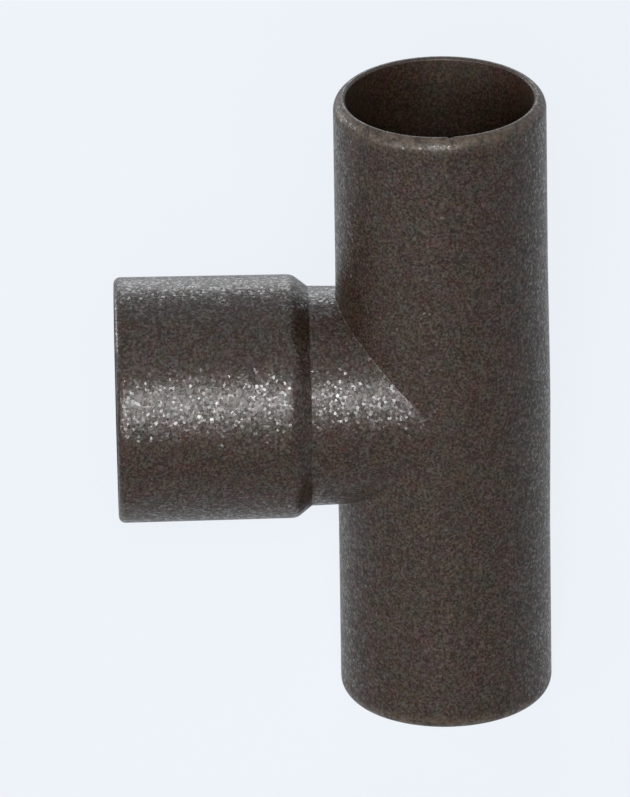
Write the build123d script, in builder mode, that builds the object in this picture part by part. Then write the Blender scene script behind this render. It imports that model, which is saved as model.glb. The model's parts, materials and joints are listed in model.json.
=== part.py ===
"""Tube tee fitting, moulded in one piece.

A straight run with two plain spigot ends carries a side branch at its middle. The branch leaves
the run as a short neck and widens over a conical shoulder into a socket, which takes a tube of
the same size as the spigots.

Frame: millimetres, +Z up along the run, with the origin at the centre of the run's lower end.
The branch points along -X.
"""

import os
from math import cos, radians, sin, tan

from build123d import *

# ---------------------------------------------------------------- driving dimensions (mm)

# The tube that the fitting is made for. Both spigots have this size, and the socket takes it.
tube_od = 32.0
tube_clearance = 0.15  # radial gap between that tube and the socket

# The run, open at both ends.
run_length = 98.0
run_wall = 1.8
run_swell = 0.2  # how far the drafted middle of the run stands outside the spigots
spigot_length = 28.0  # parallel end of the run, nose included
nose_drop = 1.05  # how far the rounded nose falls below the spigot
nose_length = 2.3  # how far back from the end the nose starts
nose_edge_round = 0.25  # where the nose meets the end face
bore_chamfer = 0.3

# The neck, the first stretch of the branch. It flares a little towards the shoulder.
neck_root_inset = 0.1  # neck's surface below the run's, at the axis of the run
neck_flare = 0.6  # neck's surface above the spigots', at the foot of the shoulder
neck_wall = 2.45  # plastic round the neck's bore at the foot of the shoulder
crease_round = 0.4  # where the neck meets the run

# The shoulder, a cone that carries the tube stop inside it.
shoulder_start = 20.2  # from the axis of the run to the foot of the cone
shoulder_angle = 38.0  # degrees, between the cone and the axis of the branch
shoulder_wall = 2.3  # plastic between the cone and the inside corner of the stop
shoulder_foot_round = 0.3
shoulder_round = 2.2  # where the cone meets the socket
stop_chamfer = 0.4  # inner edge of the stop

# The socket.
socket_depth = 26.0  # from the mouth to the tube stop
socket_root_wall = 2.25
socket_mouth_wall = 2.4  # a little more, because the outside has draft
mouth_round = 1.0  # outer edge of the mouth
lead_in_rise = 0.5  # chamfer that guides the tube in
lead_in_length = 1.0

# ---------------------------------------------------------------- sizes that follow

spigot_radius = tube_od / 2
run_bore_radius = spigot_radius - run_wall
run_middle_radius = spigot_radius + run_swell
branch_height = run_length / 2

neck_root_radius = run_middle_radius - neck_root_inset
neck_foot_radius = spigot_radius + neck_flare
neck_bore_radius = neck_foot_radius - neck_wall

socket_bore_radius = spigot_radius + tube_clearance
socket_root_radius = socket_bore_radius + socket_root_wall
socket_mouth_radius = socket_bore_radius + socket_mouth_wall

slope = radians(shoulder_angle)
shoulder_end = shoulder_start + (socket_root_radius - neck_foot_radius) / tan(slope)
# The stop's inside corner lies one shoulder wall behind the cone, measured square to it.
stop_rise = (socket_bore_radius - neck_foot_radius) * cos(slope)
stop_reach = shoulder_start + (shoulder_wall + stop_rise) / sin(slope)
mouth_reach = stop_reach + socket_depth

# Sections are drawn with x as the radius for the run, and with x outwards along the axis and y
# as the radius for the branch.
run_plane = Plane.XZ
branch_plane = Plane(origin=(0, 0, branch_height), x_dir=(-1, 0, 0), z_dir=(0, 1, 0))
branch_axis = Axis((0, 0, branch_height), (-1, 0, 0))


# ---------------------------------------------------------------- the fitting

with BuildPart() as tee_body:
    # Outside of the run: its upper half, then the same half mirrored below the branch.
    with BuildSketch(run_plane) as run_section:
        with BuildLine():
            Polyline(
                (0, branch_height),
                (run_middle_radius, branch_height),
                (spigot_radius, run_length - spigot_length),
                (spigot_radius, run_length - nose_length),
            )
            TangentArc(
                (spigot_radius, run_length - nose_length),
                (spigot_radius - nose_drop, run_length),
                tangent=(0, 1),
            )
            Polyline(
                (spigot_radius - nose_drop, run_length),
                (0, run_length),
                (0, branch_height),
            )
        make_face()
        nose_edge = run_section.vertices().sort_by_distance(
            (spigot_radius - nose_drop, run_length)
        )[0]
        fillet(nose_edge, nose_edge_round)
    revolve(axis=Axis.Z)
    mirror(about=Plane.XY.offset(branch_height))

    # Outside of the branch: neck, shoulder and socket in one section.
    with BuildSketch(branch_plane) as branch_section:
        with BuildLine():
            Polyline(
                (0, 0),
                (0, neck_root_radius),
                (shoulder_start, neck_foot_radius),
                (shoulder_end, socket_root_radius),
                (mouth_reach, socket_mouth_radius),
                (mouth_reach, 0),
                close=True,
            )
        make_face()
        corners = branch_section.vertices()
        foot = corners.sort_by_distance((shoulder_start, neck_foot_radius))[0]
        crown = corners.sort_by_distance((shoulder_end, socket_root_radius))[0]
        mouth = corners.sort_by_distance((mouth_reach, socket_mouth_radius))[0]
        fillet(foot, shoulder_foot_round)
        fillet(crown, shoulder_round)
        fillet(mouth, mouth_round)
    revolve(axis=branch_axis)

    # The crease where the neck meets the run is the only edge that is not round.
    crease = tee_body.edges().filter_by(GeomType.BSPLINE)
    fillet(crease, crease_round)

    # Bore of the run, right through, with a chamfer at both ends.
    with BuildSketch(run_plane):
        with BuildLine():
            Polyline(
                (0, 0),
                (run_bore_radius + bore_chamfer, 0),
                (run_bore_radius, bore_chamfer),
                (run_bore_radius, run_length - bore_chamfer),
                (run_bore_radius + bore_chamfer, run_length),
                (0, run_length),
                close=True,
            )
        make_face()
    revolve(axis=Axis.Z, mode=Mode.SUBTRACT)

    # Inside of the branch: neck bore, tube stop, socket and lead-in.
    with BuildSketch(branch_plane):
        with BuildLine():
            Polyline(
                (0, 0),
                (0, neck_bore_radius),
                (stop_reach - stop_chamfer, neck_bore_radius),
                (stop_reach, neck_bore_radius + stop_chamfer),
                (stop_reach, socket_bore_radius),
                (mouth_reach - lead_in_length, socket_bore_radius),
                (mouth_reach, socket_bore_radius + lead_in_rise),
                (mouth_reach, 0),
                close=True,
            )
        make_face()
    revolve(axis=branch_axis, mode=Mode.SUBTRACT)

tee_body.part.label = "tee_body"

os.makedirs("parts", exist_ok=True)
export_step(tee_body.part, "parts/tee_body.step")

print(f"branch reach {mouth_reach:.2f} mm, tube stop at {stop_reach:.2f} mm")
print(f"centre of mass {tee_body.part.center()}, volume {tee_body.part.volume:.0f} mm3")
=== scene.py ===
"""Tube tee fitting, moulded in one piece: its surface, its finish and the stage that it stands on.

The file is laid out as an add-on and is run as a script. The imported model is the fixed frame: metres, +Z up
along the run, the origin at the centre of the run's lower end, and the branch pointing along -X.
"""

import json
from math import cos, pi, radians, sin, tan

import bmesh
import bpy
import numpy as np
from bpy.props import FloatProperty, FloatVectorProperty, IntProperty, PointerProperty, StringProperty
from mathutils import Matrix, Vector


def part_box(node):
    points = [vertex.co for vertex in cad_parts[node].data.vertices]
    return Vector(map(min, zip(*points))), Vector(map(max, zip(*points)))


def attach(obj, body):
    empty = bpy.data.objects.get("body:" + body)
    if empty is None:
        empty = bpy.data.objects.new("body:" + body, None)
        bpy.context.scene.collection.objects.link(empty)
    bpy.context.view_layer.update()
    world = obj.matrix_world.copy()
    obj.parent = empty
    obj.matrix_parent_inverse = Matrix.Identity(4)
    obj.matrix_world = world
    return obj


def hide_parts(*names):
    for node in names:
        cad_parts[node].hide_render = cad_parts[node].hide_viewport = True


bl_info = {
    "name": "Tube tee fitting",
    "version": (1, 0, 0),
    "blender": (4, 5, 0),
    "location": "3D Viewport > Sidebar > Tube tee",
    "description": "Builds a moulded tube tee with its finish, and a pale stage with studio light",
    "category": "Object",
}

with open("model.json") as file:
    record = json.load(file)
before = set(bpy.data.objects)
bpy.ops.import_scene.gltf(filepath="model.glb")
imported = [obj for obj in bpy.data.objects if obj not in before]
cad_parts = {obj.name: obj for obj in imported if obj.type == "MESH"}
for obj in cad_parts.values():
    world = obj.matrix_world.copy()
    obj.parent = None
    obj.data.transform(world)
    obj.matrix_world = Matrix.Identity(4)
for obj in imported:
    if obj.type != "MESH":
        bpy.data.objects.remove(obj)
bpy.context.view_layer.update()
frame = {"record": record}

NODE = "tee_body"
MM = 0.001
PVC_IOR = 1.54  # of rigid, unplasticised PVC
WELD = 0.0005 * MM  # points nearer than this are one point
mounts = {mount["name"]: mount["dims"] for mount in frame["record"]["mounts"]}
node_low, node_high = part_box(NODE)


# ---------------------------------------------------------------- sizes and colours that a user would change


def length(name, description, default):
    """A size in metres, shown in the scene's unit."""
    return FloatProperty(
        name=name, description=description, default=default, min=0.0, unit="LENGTH", precision=5
    )


def number(name, description, default):
    """A plain number, such as a share, a roughness or a slope."""
    return FloatProperty(name=name, description=description, default=default)


def angle(name, description, degrees):
    """An angle, given here in degrees and kept in radians."""
    return FloatProperty(name=name, description=description, default=radians(degrees), subtype="ANGLE")


def colour(name, description, default):
    """A colour as an sRGB hex value."""
    return StringProperty(name=name, description=description + ", as sRGB hex", default=default)


class TeeSizes(bpy.types.PropertyGroup):
    """Sizes of the fitting. Those that the frame states are read from it."""

    run_length: length("Run length", "From end to end of the run", node_high.z)
    run_middle_radius: length("Run middle radius", "Outside of the run at the branch", node_high.x)
    spigot_radius: length(
        "Spigot radius", "Outside of the parallel ends", mounts["upper_spigot"]["r_mm"] * MM
    )
    spigot_length: length("Spigot length", "Parallel end of the run, nose included", 28.0 * MM)
    run_bore_radius: length("Run bore radius", "Inside of the run", 14.2 * MM)
    nose_length: length("Nose length", "How far back from the end the rounded nose starts", 2.3 * MM)
    nose_drop: length("Nose drop", "How far the nose falls below the spigot", 1.05 * MM)
    bore_chamfer: length("Bore chamfer", "Chamfer at both ends of the run's bore", 0.3 * MM)
    neck_root_radius: length("Neck root radius", "Neck where it would meet the run's axis", 16.1 * MM)
    neck_foot_radius: length("Neck foot radius", "Neck at the foot of the shoulder", 16.6 * MM)
    neck_bore_radius: length("Neck bore radius", "Inside of the neck", 14.15 * MM)
    shoulder_start: length("Shoulder start", "From the run's axis to the foot of the shoulder", 20.2 * MM)
    shoulder_angle: angle("Shoulder angle", "Between the shoulder's cone and the axis of the branch", 38.0)
    shoulder_round: length("Shoulder round", "Where the cone meets the socket", 2.2 * MM)
    shoulder_foot_round: length("Shoulder foot round", "Where the neck meets the cone", 0.3 * MM)
    socket_root_radius: length("Socket root radius", "Outside of the socket at the shoulder", 18.4 * MM)
    socket_mouth_radius: length("Socket mouth radius", "Outside of the socket at its mouth", node_high.y)
    socket_bore_radius: length(
        "Socket bore radius", "Inside of the socket", mounts["branch_socket"]["r_mm"] * MM
    )
    mouth_reach: length("Mouth reach", "From the run's axis to the mouth of the socket", -node_low.x)
    socket_depth: length("Socket depth", "From the mouth to the tube stop", 26.0 * MM)
    mouth_round: length("Mouth round", "Outer edge of the mouth", 1.0 * MM)
    lead_in_length: length("Lead-in length", "Chamfer at the mouth, along the axis", 1.0 * MM)
    lead_in_rise: length("Lead-in rise", "Chamfer at the mouth, across the axis", 0.5 * MM)
    stop_chamfer: length("Stop chamfer", "Inner edge of the tube stop", 0.4 * MM)
    crease_round: length("Crease round", "Where the neck meets the run, outside", 0.15 * MM)
    bore_crease_round: length("Bore crease round", "Where the bores meet, inside", 0.25 * MM)
    edge_round: length("Edge round", "What a worn cavity leaves on a nominally sharp edge", 0.12 * MM)
    nose_edge_round: length("Nose edge round", "Where the nose turns into the end face", 0.85 * MM)
    rim_round: length("Rim round", "Both edges of the bore's chamfer", 0.20 * MM)
    gate_turn: angle("Gate turn", "Place of the cut-off gate's nick, about +Z from -Y", 5.2)
    gate_width: length("Gate width", "Half width of the nick", 0.35 * MM)
    gate_depth: length("Gate depth", "Depth of the nick", 0.50 * MM)
    gate_skew: number("Gate skew", "How far the nick leans as it runs outwards, as a slope", -0.5)
    columns: IntProperty(
        name="Columns", description="Faces round the run and the branch", default=272, min=32
    )


class TeeFinish(bpy.types.PropertyGroup):
    """Colour and texture of the moulded plastic.

    A spark-eroded cavity leaves grains some 0.05 to 0.1 mm apart, and the pigment's specks are as fine. Both
    are too fine to show from where such a fitting is looked at, so they are drawn about four times coarser.
    """

    pigment: colour("Pigment", "Colour of the plastic", "#301F14")
    pit_colour: colour("Pit colour", "Colour of the darkest specks", "#1A1009")
    crest_colour: colour("Crest colour", "Colour of the palest specks", "#3E342B")
    speck: length("Speck", "Spacing of the fine specks", 0.35 * MM)
    tint_patch: length("Tint patch", "Spacing of the broadest warm and green patches", 2.4 * MM)
    tint: number("Tint", "How strongly those patches differ", 1.15)
    grain: length("Grain", "Spacing of the spark-eroded grains", 0.38 * MM)
    grain_height: length("Grain height", "Height of the spark-eroded grains", 0.03 * MM)
    specular: number("Specular level", "Gloss of the dull grains, where 0.5 is that of bare plastic", 0.31)
    dull: number("Dull grain", "Roughness of the dull grains", 0.34)
    dull_tilt: number("Dull tilt", "Range of a dull grain's lean, as a slope", 0.14)
    glint_share: number("Glint share", "Share of grains with a smooth skin", 0.55)
    glint_roughness: number("Glint roughness", "Roughness of that skin", 0.23)
    glint_tilt: number("Glint tilt", "Range of that skin's lean, as a slope", 0.32)
    # Pale colour of both rims: partly rubbing wear, partly a painted highlight for light on the rims.
    rim_wear_and_highlight: colour("Scuffed", "Colour of the rubbed rims of the run", "#6B5E52")
    scuffed_roughness: number("Scuffed roughness", "Roughness of those rims", 0.42)
    scuffed_skin: number("Scuffed skin", "Share of the smooth skin that is left on them", 0.5)
    # Spacing of the rims' pale patches, which are partly wear and partly painted highlight.
    pale_patch_spacing: length("Scuffs", "Spacing of the rubbed places round them", 1.2 * MM)
    core_roughness: number("Core roughness", "Roughness that the polished core leaves", 0.42)
    draw_height: length("Draw marks", "Height of the marks that the core leaves as it is drawn", 0.02 * MM)
    draw_stretch: number("Draw stretch", "Length of those marks over their width", 9.0)


class TeeStage(bpy.types.PropertyGroup):
    """Camera, floor and light."""

    azimuth: angle("Azimuth", "Turn of the camera about +Z, from looking along +Y", -1.12)
    elevation: angle("Elevation", "Camera above the horizon", 25.40)
    roll: angle("Roll", "Turn of the camera about its own axis", -0.8735)
    distance: length("Distance", "From the point looked at to the camera", 2.6244)
    lens: number("Lens", "Focal length of the camera in millimetres", 785.3)
    aim: FloatVectorProperty(
        name="Aim", description="Point looked at, right of and above where the axes cross", size=2,
        default=(-19.339 * MM, -0.614 * MM), unit="LENGTH", precision=5,
    )
    background: colour("Background", "Colour of floor and backdrop", "#EEF3F9")
    floor_reach: length("Floor reach", "From the fitting to each side of the floor", 6.0)
    shadow: number("Shadow", "Share of the floor's colour that light brings", 0.25)
    mirrored_shadow: number("Mirrored shadow", "The same share in reflections", 0.68)
    fill: number("Fill", "Strength of the even light from all round", 0.05)


# ---------------------------------------------------------------- small helpers


def linear(hex_colour):
    """Scene-linear RGBA of an sRGB hex colour, by the standard's own two-part curve."""
    channels = np.array([int(hex_colour[i:i + 2], 16) for i in (1, 3, 5)]) / 255
    curve = np.where(channels <= 0.04045, channels / 12.92, ((channels + 0.055) / 1.055) ** 2.4)
    return (*curve.tolist(), 1.0)


def add_node(tree, kind, settings=None, links=None, **sockets):
    """Adds one node.

    settings holds its attributes, links is {its input: the output that feeds it}, and the rest are values of
    inputs by name, with _ for a space.
    """
    node = tree.nodes.new(kind)
    for attribute, value in (settings or {}).items():
        setattr(node, attribute, value)
    for socket, value in sockets.items():
        node.inputs[socket.replace("_", " ")].default_value = value
    for socket, source in (links or {}).items():
        tree.links.new(source, node.inputs[socket])
    return node


# ---------------------------------------------------------------- surfaces


def crowded(steps):
    """Stations from 0 to 1 that crowd at both ends: half of one minus the cosine of an even half turn."""
    return (1 - np.cos(np.linspace(0, np.pi, steps + 1))) / 2


def rounded_outline(corners, rounds, step, arc_steps=6):
    """Outline of a revolved surface as rows of (along, radius).

    Every corner gives way to an arc of its rounding, which leaves each leg at the rounding times the tangent
    of half the turn. Legs are divided at crowded stations, on average no further apart than the step.
    """
    corners = np.asarray(corners, float)
    pieces = [corners[:1]]
    for before, corner, after, rounding in zip(corners, corners[1:], corners[2:], rounds):
        inward, outward = corner - before, after - corner
        inward, outward = inward / np.linalg.norm(inward), outward / np.linalg.norm(outward)
        half_turn = np.arccos(np.clip(inward @ outward, -1, 1)) / 2
        reach = rounding * np.tan(half_turn)
        start, stop = corner - inward * reach, corner + outward * reach
        pieces.append(round_arc(start, corner, stop, half_turn, arc_steps))
    pieces.append(corners[-1:])
    outline = [pieces[0]]
    for piece in pieces[1:]:
        start, stop = outline[-1][-1], piece[0]
        steps = max(1, int(np.ceil(np.linalg.norm(stop - start) / step)))
        outline.append(start + (stop - start) * crowded(steps)[1:, None])
        outline.append(piece[1:])
    return np.concatenate(outline)


def round_arc(start, corner, stop, half_turn, steps):
    """Arc from start to stop that touches both legs of the corner.

    Its points are (1 - s)^2 start + 2 s (1 - s) w corner + s^2 stop, over the sum of the three weights. s
    runs from 0 to 1, and w is the cosine of half the turn, which makes it a true arc.
    """
    s = np.linspace(0, 1, steps + 1).reshape(-1, *[1] * np.ndim(start))
    weight = np.cos(half_turn)[..., None] if np.ndim(half_turn) else np.cos(half_turn)
    first, middle, last = (1 - s) ** 2, 2 * s * (1 - s) * weight, s ** 2
    return (first * start + middle * corner + last * stop) / (first + middle + last)


def unit(vectors):
    """Vectors of length one."""
    return vectors / np.linalg.norm(vectors, axis=-1, keepdims=True)


def crossing(turns, run_radius, neck_radius, rounding, arc_steps):
    """Rounded crease between the run and the neck, about the point where their axes cross.

    At each turn about the branch, a point at the neck's radius is moved along -X until it is also at the
    run's radius: its reach is the root of the run's radius squared less its side squared, found again and
    again because both radii change with the place. The crease's own direction is the cross product of the
    two surface normals. The rounding leaves each surface at right angles to it, at the rounding times the
    tangent of half the angle between the normals. Returns the arcs as (step, turn, xyz).
    """
    rounds_to_settle = 60
    reach = np.zeros_like(turns)
    for _ in range(rounds_to_settle):
        neck = neck_radius(reach)
        side, rise = neck * np.sin(turns), neck * np.cos(turns)
        reach = np.sqrt(np.maximum(run_radius(rise) ** 2 - side ** 2, 0))
    point = np.stack([-reach, side, rise], -1)
    small = 1e-6  # metres, a step to either side that gives a surface's slope
    run_slope = (run_radius(rise + small) - run_radius(rise - small)) / (2 * small)
    neck_slope = (neck_radius(reach + small) - neck_radius(reach - small)) / (2 * small)
    run_normal = unit(np.stack([-reach, side, -run_radius(rise) * run_slope], -1))
    neck_normal = unit(np.stack([neck * neck_slope, side, rise], -1))
    along = np.cross(run_normal, neck_normal)
    on_run = unit(np.cross(along, run_normal))
    on_run *= np.sign((on_run * neck_normal).sum(-1, keepdims=True))
    on_neck = unit(np.cross(along, neck_normal))
    on_neck *= np.sign((on_neck * run_normal).sum(-1, keepdims=True))
    half_turn = np.arccos(np.clip((run_normal * neck_normal).sum(-1), -1, 1)) / 2
    away = rounding * np.tan(half_turn)[:, None]
    return round_arc(point + away * on_run, point, point + away * on_neck, half_turn, arc_steps)


def carried_sheet(start, start_radius, outline, stop_radius, stop, even_turns, first_steps, last_steps):
    """Grid of (along, radius, turn) that starts on one curve, follows an outline, and stops on another curve.

    start and stop are (turn, along) for each column. Between start and the outline the columns run straight
    along the axis at start_radius(along), and ease from the curve's turns to even ones by one minus the cube
    of what is left. The outline's rows are full rings. The last stretch does the same the other way.
    """
    def stretch(curve, ring, radius_at, steps):
        done = crowded(steps)[:-1, None]
        along = curve[1] + (ring - curve[1]) * done
        turn = curve[0] + (even_turns - curve[0]) * (1 - (1 - done) ** 3)
        return np.stack([along, radius_at(along), turn], -1)

    rings = np.stack(np.broadcast_arrays(outline[:, :1], outline[:, 1:], even_turns), -1)
    first = stretch(start, outline[0, 0], start_radius, first_steps)
    last = stretch(stop, outline[-1, 0], stop_radius, last_steps)[::-1]
    return np.concatenate([first, rings, last])


def grid_faces(rows, columns, offset):
    """Quads of a grid that closes on itself across its columns, as rows of four vertex numbers."""
    here = offset + np.arange(rows * columns).reshape(rows, columns)
    beside = np.roll(here, -1, axis=1)
    quads = np.stack([here[:-1], beside[:-1], beside[1:], here[1:]], -1)
    return quads.reshape(-1, 4)


def closed_mesh(name, grids, takes_second):
    """One closed mesh from grids of points that share their borders, welded there, with its faces outwards.

    takes_second says of points whether they take the second material. Each face goes by its middle.
    """
    faces, offset = [], 0
    for grid in grids:
        faces.append(grid_faces(grid.shape[0], grid.shape[1], offset))
        offset += grid.shape[0] * grid.shape[1]
    points = np.concatenate([grid.reshape(-1, 3) for grid in grids])
    mesh = bpy.data.meshes.new(name)
    faces = np.concatenate(faces)
    mesh.from_pydata(points.tolist(), [], faces.tolist())
    mesh.polygons.foreach_set("material_index", takes_second(points[faces].mean(1)).astype(np.int32))
    work = bmesh.new()
    work.from_mesh(mesh)
    bmesh.ops.remove_doubles(work, verts=work.verts, dist=WELD)
    bmesh.ops.recalc_face_normals(work, faces=work.faces)
    work.to_mesh(mesh)
    work.free()
    mesh.shade_smooth()
    return mesh


def tee_grids(sizes):
    """Grids of the whole surface, inside and outside.

    The upper run, outside and inside, is one sheet, and its mirror image is the lower run. The branch is
    another sheet, outside and inside. The two creases, rounded, join them.
    """
    middle = sizes.run_length / 2
    spigot_start = middle - sizes.spigot_length
    soft = 3 * MM  # the run's greatest girth is eased over this length, so that it has no ridge
    spare = 1.1  # so many times what its edge's rounding needs is left of the nose's last leg
    lead = 1.0 * MM  # of the neck is drawn with the shoulder
    tail = 2.0 * MM  # of the neck's bore is drawn with the tube stop

    def run_radius(rise):
        """Falls in a straight line from the middle to the spigot, eased at the middle by a hyperbola."""
        eased = np.sqrt(np.minimum(abs(rise), spigot_start) ** 2 + soft ** 2) - soft
        share = eased / (np.hypot(spigot_start, soft) - soft)
        return sizes.run_middle_radius + (sizes.spigot_radius - sizes.run_middle_radius) * share

    def neck_radius(reach):
        """Straight line from the root, on the run's axis, to the foot of the shoulder."""
        flare = sizes.neck_foot_radius - sizes.neck_root_radius
        return sizes.neck_root_radius + flare * reach / sizes.shoulder_start

    def bore(radius):
        """Plain cylinder."""
        return lambda along: np.full_like(along, radius)

    half = sizes.columns // 2
    turns = np.linspace(-np.pi / 2, 1.5 * np.pi, sizes.columns, endpoint=False)
    run_bore, neck_bore = bore(sizes.run_bore_radius), bore(sizes.neck_bore_radius)
    outer = crossing(turns, run_radius, neck_radius, sizes.crease_round, arc_steps=8)
    inner = crossing(turns, run_bore, neck_bore, sizes.bore_crease_round, arc_steps=4)

    def on_run(curve):
        """Turn about the run, and rise, of the crease's upper half and of the level line that closes it."""
        front = curve[:half + 1]
        turn, rise = np.arctan2(front[:, 1], -front[:, 0]), front[:, 2]
        behind = np.linspace(turn[-1], 2 * np.pi + turn[0], half + 1)[1:-1]
        return np.concatenate([turn, behind]), np.concatenate([rise, np.zeros(half - 1)])

    def on_branch(curve):
        """Turn about the branch and reach of the whole crease."""
        turn = np.arctan2(curve[:, 1], curve[:, 2])
        return turns + (turn - turns + np.pi) % (2 * np.pi) - np.pi, -curve[:, 0]

    # The nose is an arc that leaves the spigot without a break and has fallen by its drop after its length.
    # Its radius is the sum of their squares over twice the drop. Its end gives way to the edge's own arc.
    nose_radius = (sizes.nose_drop ** 2 + sizes.nose_length ** 2) / (2 * sizes.nose_drop)
    nose_turn = np.arcsin(sizes.nose_length / nose_radius)
    nose_corner = middle - sizes.nose_drop / np.tan(nose_turn)
    end_turn = np.pi / 2 - nose_turn
    spared = spare * sizes.nose_edge_round * np.tan(end_turn / 2)
    nose_round = (nose_radius * np.tan(nose_turn / 2) - spared) / np.tan(nose_turn / 2)
    run_outline = rounded_outline(
        [
            (middle - sizes.nose_length, sizes.spigot_radius),
            (nose_corner, sizes.spigot_radius),
            (middle, sizes.spigot_radius - sizes.nose_drop),
            (middle, sizes.run_bore_radius + sizes.bore_chamfer),
            (middle - sizes.bore_chamfer, sizes.run_bore_radius),
            (middle - sizes.nose_length, sizes.run_bore_radius),
        ],
        [nose_round, sizes.nose_edge_round, sizes.rim_round, sizes.rim_round],
        step=0.6 * MM,
    )

    rise = sizes.socket_root_radius - sizes.neck_foot_radius
    stop_reach = sizes.mouth_reach - sizes.socket_depth
    branch_outline = rounded_outline(
        [
            (sizes.shoulder_start - lead, neck_radius(sizes.shoulder_start - lead)),
            (sizes.shoulder_start, sizes.neck_foot_radius),
            (sizes.shoulder_start + rise / tan(sizes.shoulder_angle), sizes.socket_root_radius),
            (sizes.mouth_reach, sizes.socket_mouth_radius),
            (sizes.mouth_reach, sizes.socket_bore_radius + sizes.lead_in_rise),
            (sizes.mouth_reach - sizes.lead_in_length, sizes.socket_bore_radius),
            (stop_reach, sizes.socket_bore_radius),
            (stop_reach, sizes.neck_bore_radius + sizes.stop_chamfer),
            (stop_reach - sizes.stop_chamfer, sizes.neck_bore_radius),
            (stop_reach - tail, sizes.neck_bore_radius),
        ],
        [sizes.shoulder_foot_round, sizes.shoulder_round, sizes.mouth_round] + [sizes.edge_round] * 5,
        step=1.4 * MM,
    )

    run = carried_sheet(
        on_run(outer[0]), run_radius, run_outline, run_bore, on_run(inner[0]), turns,
        first_steps=34, last_steps=20,
    )
    branch = carried_sheet(
        on_branch(outer[-1]), neck_radius, branch_outline, neck_bore, on_branch(inner[-1]), turns,
        first_steps=18, last_steps=14,
    )
    along, radius, turn = np.moveaxis(run, -1, 0)
    upper = np.stack([-radius * np.cos(turn), radius * np.sin(turn), along], -1)
    along, radius, turn = np.moveaxis(branch, -1, 0)
    side = np.stack([-along, radius * np.sin(turn), radius * np.cos(turn)], -1)
    outer[0], outer[-1] = crease_rows(upper[0], half), side[0]
    inner[0], inner[-1] = crease_rows(upper[-1], half), side[-1]
    grids = [upper, upper * (1, 1, -1), side, outer, inner]
    return [with_gate_mark(sizes, grid + (0, 0, middle)) for grid in grids]


def with_gate_mark(sizes, points):
    """Points with the nick that is left on the upper rim where the gate was cut off.

    The nick runs outwards across the rim and leans a little to one side. Its depth is its greatest depth
    times e to the minus the sum of three squares: the distance from its own line over its half width, the
    distance outwards from its middle over its half length, and the distance below the rim over the length of
    the nose.
    """
    half_length = 1.5 * sizes.gate_width
    middle = sizes.run_bore_radius + 2 * sizes.gate_width
    turn = sizes.gate_turn
    outwards, sideways = (sin(turn), -cos(turn), 0), (cos(turn), sin(turn), 0)
    out = points @ outwards - middle
    side = points @ sideways + out * sizes.gate_skew
    down = sizes.run_length - points[..., 2]
    squares = (side / sizes.gate_width) ** 2 + (out / half_length) ** 2 + (down / sizes.nose_length) ** 2
    return points - (sizes.gate_depth * np.exp(-squares))[..., None] * (0, 0, 1)


def is_cored(sizes, points):
    """Whether points lie on a surface that a core shaped: the run's bore, the neck's bore or the socket.

    They do where they are nearer to the run's axis, or to the branch's, than the outer edge of a chamfer.
    """
    inside = 0.9  # of a chamfer's width, so that its outer rounding counts as the outside
    reach, side, rise = -points[:, 0], points[:, 1], points[:, 2] - sizes.run_length / 2
    in_run = np.hypot(reach, side) < sizes.run_bore_radius + inside * sizes.bore_chamfer
    before_stop = reach < sizes.mouth_reach - sizes.socket_depth - sizes.edge_round
    neck_edge = sizes.neck_bore_radius + sizes.stop_chamfer
    mouth_edge = sizes.socket_bore_radius + inside * sizes.lead_in_rise
    in_branch = (reach > 0) & (np.hypot(side, rise) < np.where(before_stop, neck_edge, mouth_edge))
    return in_run | in_branch


def crease_rows(border, half):
    """The whole crease from its upper half on the run, which its lower half mirrors the other way round."""
    front = border[:half + 1]
    return np.concatenate([front, front[-2:0:-1] * (1, 1, -1)])


# ---------------------------------------------------------------- finishes


def pigmented_plastic(name, finish, speck_span):
    """New material in the black-brown pigment of the melt.

    The pigment isn't mixed in evenly: dark and pale specks and faint warm and green patches break the colour
    up, so that it never looks like paint. The specks' noise goes from the darkest to the palest speck within
    speck_span either side of its middle. Returns the material, its node tree, its shader, the place on the
    piece and the colour.
    """
    material = bpy.data.materials.new(name)
    material.use_nodes = True
    tree = material.node_tree
    shader = tree.nodes["Principled BSDF"]
    shader.inputs["IOR"].default_value = PVC_IOR
    place = add_node(tree, "ShaderNodeTexCoord").outputs["Object"]

    specks = add_node(tree, "ShaderNodeTexNoise", links={"Vector": place}, Scale=1 / finish.speck, Detail=1.0)
    shade = add_node(tree, "ShaderNodeValToRGB", links={"Fac": specks.outputs["Fac"]})
    ramp = shade.color_ramp
    ramp.elements[0].position, ramp.elements[0].color = 0.5 - speck_span, linear(finish.pit_colour)
    ramp.elements[1].position, ramp.elements[1].color = 0.5 + speck_span, linear(finish.crest_colour)
    ramp.elements.new(0.5).color = linear(finish.pigment)

    # Each channel of the patches' noise, about a half, becomes a factor about one for the same channel.
    patches = add_node(
        tree, "ShaderNodeTexNoise", links={"Vector": place},
        Scale=1 / finish.tint_patch, Detail=2.0, Roughness=0.8,
    )
    tint = add_node(
        tree, "ShaderNodeVectorMath", {"operation": "MULTIPLY_ADD"}, {0: patches.outputs["Color"]}
    )
    tint.inputs[1].default_value = [finish.tint] * 3
    tint.inputs[2].default_value = [1 - finish.tint / 2] * 3
    tinted = add_node(
        tree, "ShaderNodeVectorMath", {"operation": "MULTIPLY"},
        {0: shade.outputs["Color"], 1: tint.outputs["Vector"]},
    ).outputs["Vector"]
    tree.links.new(tinted, shader.inputs["Base Color"])
    return material, tree, shader, place, tinted


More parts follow.
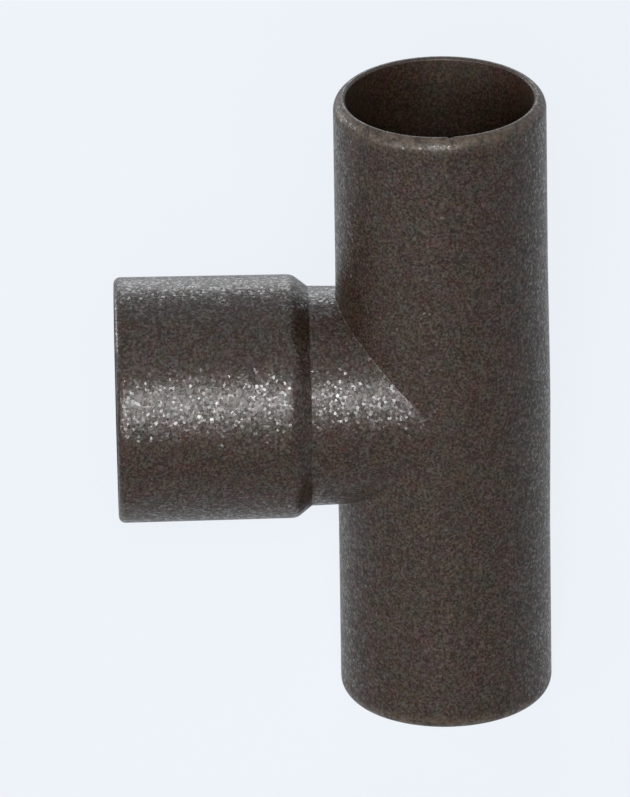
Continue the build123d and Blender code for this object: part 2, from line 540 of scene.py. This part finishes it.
def eroded_plastic(finish, sizes):
    """Rigid PVC, injection-moulded against a spark-eroded cavity.

    The cavity leaves a sandy grain. A grain is dull, which gives the eye a soft, even sheen that grows at a
    low angle. Many have a smooth skin besides, so that the sheen breaks up into single glints where the light
    is mirrored. Both rims of the run are painted paler in patches: partly rubbing wear, and partly a painted
    highlight that stands in for light on the rims.
    """
    material, tree, shader, place, pigment = pigmented_plastic(
        "moulded_pvc_spark_eroded", finish, speck_span=0.13
    )
    shader.inputs["Specular IOR Level"].default_value = finish.specular

    # One cell is one grain. A random vector of its cell joins the normal, so its top leans its own way, and
    # its smooth skin leans further than the dull rest of it.
    grains = add_node(tree, "ShaderNodeTexVoronoi", links={"Vector": place}, Scale=1 / finish.grain)
    swell = add_node(tree, "ShaderNodeTexNoise", links={"Vector": place}, Scale=1 / finish.grain, Detail=1.5)
    bump = add_node(
        tree, "ShaderNodeBump", links={"Height": swell.outputs["Fac"]}, Distance=finish.grain_height
    )
    smooth = add_node(tree, "ShaderNodeNewGeometry")
    for socket, lean, normal in (
        ("Normal", finish.dull_tilt, bump.outputs["Normal"]),
        ("Coat Normal", finish.glint_tilt, smooth.outputs["Normal"]),
    ):
        tilt = add_node(
            tree, "ShaderNodeVectorMath", {"operation": "MULTIPLY_ADD"}, {0: grains.outputs["Color"]}
        )
        tilt.inputs[1].default_value = [lean] * 3
        tilt.inputs[2].default_value = [-lean / 2] * 3
        leaning = add_node(
            tree, "ShaderNodeVectorMath", {"operation": "ADD"}, {0: normal, 1: tilt.outputs["Vector"]}
        )
        facing = add_node(
            tree, "ShaderNodeVectorMath", {"operation": "NORMALIZE"}, {0: leaning.outputs["Vector"]}
        )
        tree.links.new(facing.outputs["Vector"], shader.inputs[socket])

    # Tubes slid on and off rub the rims: the nearer to the end the more, and paler in patches. The paleness
    # is partly that wear and partly a painted highlight for light on the rims.
    middle = sizes.run_length / 2
    pale_rim_reach = 1.2 * sizes.nose_length
    rise = add_node(tree, "ShaderNodeSeparateXYZ", links={0: place}).outputs["Z"]
    off_middle = add_node(tree, "ShaderNodeMath", {"operation": "SUBTRACT"}, {0: rise})
    off_middle.inputs[1].default_value = middle
    from_middle = add_node(tree, "ShaderNodeMath", {"operation": "ABSOLUTE"}, {0: off_middle.outputs[0]})
    near_end = add_node(
        tree, "ShaderNodeMapRange", {"interpolation_type": "SMOOTHSTEP"}, {"Value": from_middle.outputs[0]},
        From_Min=middle - pale_rim_reach, From_Max=middle,
    ).outputs[0]
    pale_rim_noise = add_node(
        tree, "ShaderNodeTexNoise", links={"Vector": place},
        Scale=1 / finish.pale_patch_spacing, Detail=2.0, Roughness=0.8,
    )
    pale_patches = add_node(
        tree, "ShaderNodeMapRange", links={"Value": pale_rim_noise.outputs["Fac"]}, From_Min=0.35, From_Max=0.75
    )
    wear_and_highlight_mask = add_node(tree, "ShaderNodeMath", {"operation": "MULTIPLY"}, {0: near_end, 1: pale_patches.outputs[0]})
    # Mixes in the pale rim colour, which is partly wear and partly a painted highlight.
    wear_and_highlight_mix = add_node(
        tree, "ShaderNodeMix", {"data_type": "RGBA"}, {"Factor": wear_and_highlight_mask.outputs[0], "A": pigment}
    )
    wear_and_highlight_mix.inputs["B"].default_value = linear(finish.rim_wear_and_highlight)
    tree.links.new(wear_and_highlight_mix.outputs["Result"], shader.inputs["Base Color"])
    roughness = add_node(
        tree, "ShaderNodeMapRange", links={"Value": near_end},
        To_Min=finish.dull, To_Max=finish.scuffed_roughness,
    )
    tree.links.new(roughness.outputs[0], shader.inputs["Roughness"])

    # The skin is a clear coat over the dull grain. A lottery by the cell's colour says which grains have it.
    lottery = add_node(tree, "ShaderNodeTexWhiteNoise", links={"Vector": grains.outputs["Color"]})
    skin = add_node(
        tree, "ShaderNodeMapRange", links={"Value": lottery.outputs["Value"]}, From_Min=1 - finish.glint_share
    )
    left = add_node(
        tree, "ShaderNodeMapRange", links={"Value": near_end}, To_Min=1.0, To_Max=finish.scuffed_skin
    )
    kept = add_node(
        tree, "ShaderNodeMath", {"operation": "MULTIPLY"}, {0: skin.outputs[0], 1: left.outputs[0]}
    )
    tree.links.new(kept.outputs[0], shader.inputs["Coat Weight"])
    shader.inputs["Coat Roughness"].default_value = finish.glint_roughness
    return material


def cored_plastic(finish, sizes):
    """Rigid PVC, injection-moulded round a polished steel core.

    The core leaves the bores without grain, so that they look darker and smoother than the outside, with
    faint marks along the way that it was drawn out. Those are really a few hundredths of a millimetre apart,
    and are drawn at the grain's spacing to show.
    """
    material, tree, shader, place, _ = pigmented_plastic(
        "moulded_pvc_polished_core", finish, speck_span=0.16
    )
    shader.inputs["Roughness"].default_value = finish.core_roughness

    # The pattern is squeezed along the core's way: along X in the branch, and along Z in the run.
    across = add_node(tree, "ShaderNodeSeparateXYZ", links={0: place}).outputs["X"]
    in_branch = add_node(tree, "ShaderNodeMath", {"operation": "LESS_THAN"}, {0: across})
    in_branch.inputs[1].default_value = -sizes.run_bore_radius
    squeeze = add_node(tree, "ShaderNodeMix", {"data_type": "VECTOR"}, {"Factor": in_branch.outputs[0]})
    squeeze.inputs["A"].default_value = (1, 1, 1 / finish.draw_stretch)
    squeeze.inputs["B"].default_value = (1 / finish.draw_stretch, 1, 1)
    squeezed = add_node(
        tree, "ShaderNodeVectorMath", {"operation": "MULTIPLY"}, {0: place, 1: squeeze.outputs["Result"]}
    )
    marks = add_node(
        tree, "ShaderNodeTexNoise", links={"Vector": squeezed.outputs["Vector"]},
        Scale=1 / finish.grain, Detail=1.0,
    )
    bump = add_node(
        tree, "ShaderNodeBump", links={"Height": marks.outputs["Fac"]}, Distance=finish.draw_height
    )
    tree.links.new(bump.outputs["Normal"], shader.inputs["Normal"])
    return material


# ---------------------------------------------------------------- operators


class OBJECT_OT_add_tee_body(bpy.types.Operator):
    """Add the moulded tee: run, neck, shoulder and socket as one closed surface"""

    bl_idname = "object.add_tee_body"
    bl_label = "Add Tee Body"
    bl_options = {"REGISTER", "UNDO"}

    def execute(self, context):
        sizes = context.scene.tee_sizes
        mesh = closed_mesh("moulded_tee", tee_grids(sizes), lambda points: is_cored(sizes, points))
        piece = bpy.data.objects.new("moulded_tee", mesh)
        context.scene.collection.objects.link(piece)
        mesh.materials.append(eroded_plastic(context.scene.tee_finish, sizes))
        mesh.materials.append(cored_plastic(context.scene.tee_finish, sizes))
        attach(piece, "root")
        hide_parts(NODE)
        return {"FINISHED"}


class SCENE_OT_add_tee_stage(bpy.types.Operator):
    """Add the camera, the pale floor and the studio light"""

    bl_idname = "scene.add_tee_stage"
    bl_label = "Add Stage"
    bl_options = {"REGISTER", "UNDO"}

    def execute(self, context):
        stage = context.scene.tee_stage
        context.scene.view_settings.view_transform = "Standard"
        add_camera(context.scene, stage)
        add_floor(context.scene, stage)
        add_world(context.scene, stage)
        add_softboxes(context.scene)
        return {"FINISHED"}


def add_camera(scene, stage):
    """Camera on a long lens, aimed beside the crossing of the axes, turned about its own axis by the roll."""
    a, e, r = stage.azimuth, stage.elevation, stage.roll
    back = Vector((sin(a) * cos(e), -cos(a) * cos(e), sin(e)))
    right = Vector((cos(a), sin(a), 0))
    up = back.cross(right)
    aim = Vector((0, 0, node_high.z / 2)) + stage.aim[0] * right + stage.aim[1] * up
    turned_right = cos(r) * right + sin(r) * up
    turned_up = back.cross(turned_right)
    data = bpy.data.cameras.new("camera")
    data.lens = stage.lens
    data.sensor_width = 36  # millimetres, full frame
    camera = bpy.data.objects.new("camera", data)
    turn = Matrix((turned_right, turned_up, back)).transposed().to_4x4()
    camera.matrix_world = Matrix.Translation(aim + back * stage.distance) @ turn
    scene.collection.objects.link(camera)
    scene.camera = camera


def shown_as_background(tree):
    """Two values, each one or nought.

    The first is one for camera, glossy and transmission rays and nought for those that carry light. The
    second is one for glossy rays alone.
    """
    rays = add_node(tree, "ShaderNodeLightPath").outputs
    either = add_node(
        tree, "ShaderNodeMath", {"operation": "MAXIMUM"}, {0: rays["Is Camera Ray"], 1: rays["Is Glossy Ray"]}
    )
    shown = add_node(
        tree, "ShaderNodeMath", {"operation": "MAXIMUM"},
        {0: either.outputs[0], 1: rays["Is Transmission Ray"]},
    )
    return shown.outputs[0], rays["Is Glossy Ray"]


def add_floor(scene, stage):
    """Flat pale floor of matt card, wide enough to reach past every view.

    Matt card scatters light evenly, so it has no gloss. Where it is seen, part of its colour is light that
    falls on it, so that it keeps a soft shadow, and the rest is its own glow. The glow is one less that part
    times the light on the card, over one less that part, so that both make up the card's colour exactly. The
    light is that of the softboxes, each times the sine of its elevation, and the fill. A reflection shows a
    larger part of the light and the shadow.
    """
    reach = stage.floor_reach
    corners = [(-reach, -reach, 0), (reach, -reach, 0), (reach, reach, 0), (-reach, reach, 0)]
    mesh = bpy.data.meshes.new("floor")
    mesh.from_pydata(corners, [], [(0, 1, 2, 3)])
    floor = bpy.data.objects.new("floor", mesh)
    scene.collection.objects.link(floor)
    material = bpy.data.materials.new("matt_white_card")
    material.use_nodes = True
    material.cycles.emission_sampling = "NONE"  # the glow lights nothing, so no light is looked for there
    tree = material.node_tree
    card = tree.nodes["Principled BSDF"]
    card.inputs["Base Color"].default_value = linear(stage.background)
    card.inputs["Roughness"].default_value = 1.0
    card.inputs["Specular IOR Level"].default_value = 0.0
    light = stage.fill + sum(strength * sin(radians(elevation)) for _, _, elevation, _, strength in SOFTBOXES)
    glow = add_node(
        tree, "ShaderNodeEmission", Color=linear(stage.background),
        Strength=(1 - stage.shadow * light) / (1 - stage.shadow),
    )
    shown, glossy = shown_as_background(tree)
    part = add_node(
        tree, "ShaderNodeMapRange", links={"Value": glossy}, To_Min=stage.shadow, To_Max=stage.mirrored_shadow
    )
    seen = add_node(
        tree, "ShaderNodeMixShader", links={0: part.outputs[0], 1: glow.outputs[0], 2: card.outputs[0]}
    )
    surface = add_node(tree, "ShaderNodeMixShader", links={0: shown, 1: card.outputs[0], 2: seen.outputs[0]})
    tree.links.new(surface.outputs[0], tree.nodes["Material Output"].inputs["Surface"])
    mesh.materials.append(material)


def add_world(scene, stage):
    """Backdrop of the floor's colour, and an even weak light from all round."""
    world = bpy.data.worlds.new("surroundings")
    world.use_nodes = True
    world.cycles.sampling_method = "NONE"  # the backdrop lights nothing, and the fill is too even to need it
    tree = world.node_tree
    light = tree.nodes["Background"]
    light.inputs["Color"].default_value = (1, 1, 1, 1)
    light.inputs["Strength"].default_value = stage.fill
    backdrop = add_node(tree, "ShaderNodeBackground", Color=linear(stage.background), Strength=1.0)
    shown, _ = shown_as_background(tree)
    surface = add_node(
        tree, "ShaderNodeMixShader", links={0: shown, 1: light.outputs[0], 2: backdrop.outputs[0]}
    )
    tree.links.new(surface.outputs[0], tree.nodes["World Output"].inputs["Surface"])
    scene.world = world


# Softboxes: name, azimuth and elevation in degrees, the angle in degrees that it fills, and its strength,
# where 1 alone would show a white card that faces it as white.
SOFTBOXES = (
    ("key", -2, 25.4, 11, 0.42),
    ("low_key", -8, 12, 14, 0.29),
    ("table_level_key", -10, 4, 10, 0.11),
    ("left", -45, 5, 20, 0.34),
    ("behind_left", 230, 6, 22, 0.19),
    ("behind", 180, 24, 18, 0.055),
    ("behind_low", 180, 8, 34, 0.03),
)


def add_softboxes(scene):
    """Soft lamps far away, each a disc of light that is as wide as its angle."""
    for name, azimuth, elevation, width, strength in SOFTBOXES:
        data = bpy.data.lights.new(name, "SUN")
        data.energy = strength * pi
        data.angle = radians(width)
        lamp = bpy.data.objects.new(name, data)
        a, e = radians(azimuth), radians(elevation)
        towards = Vector((sin(a) * cos(e), -cos(a) * cos(e), sin(e)))
        lamp.rotation_euler = towards.to_track_quat("Z", "Y").to_euler()
        scene.collection.objects.link(lamp)


class VIEW3D_PT_tube_tee(bpy.types.Panel):
    """Sidebar panel that lists what the file builds"""

    bl_label = "Tube tee"
    bl_space_type = "VIEW_3D"
    bl_region_type = "UI"
    bl_category = "Tube tee"

    def draw(self, context):
        for settings in (context.scene.tee_sizes, context.scene.tee_finish, context.scene.tee_stage):
            box = self.layout.box()
            for name in settings.bl_rna.properties.keys():
                if name not in ("rna_type", "name"):
                    box.prop(settings, name)
        self.layout.operator(OBJECT_OT_add_tee_body.bl_idname)
        self.layout.operator(SCENE_OT_add_tee_stage.bl_idname)


SETTINGS = {"tee_sizes": TeeSizes, "tee_finish": TeeFinish, "tee_stage": TeeStage}
CLASSES = (*SETTINGS.values(), OBJECT_OT_add_tee_body, SCENE_OT_add_tee_stage, VIEW3D_PT_tube_tee)


def register():
    """Registers the classes and gives the scene its settings."""
    for cls in CLASSES:
        bpy.utils.register_class(cls)
    for name, group in SETTINGS.items():
        setattr(bpy.types.Scene, name, PointerProperty(type=group))


def unregister():
    """Takes the settings and the classes away again."""
    for name in SETTINGS:
        delattr(bpy.types.Scene, name)
    for cls in reversed(CLASSES):
        bpy.utils.unregister_class(cls)


def main():
    register()
    bpy.ops.object.add_tee_body()
    bpy.ops.scene.add_tee_stage()


if __name__ == "__main__":
    main()
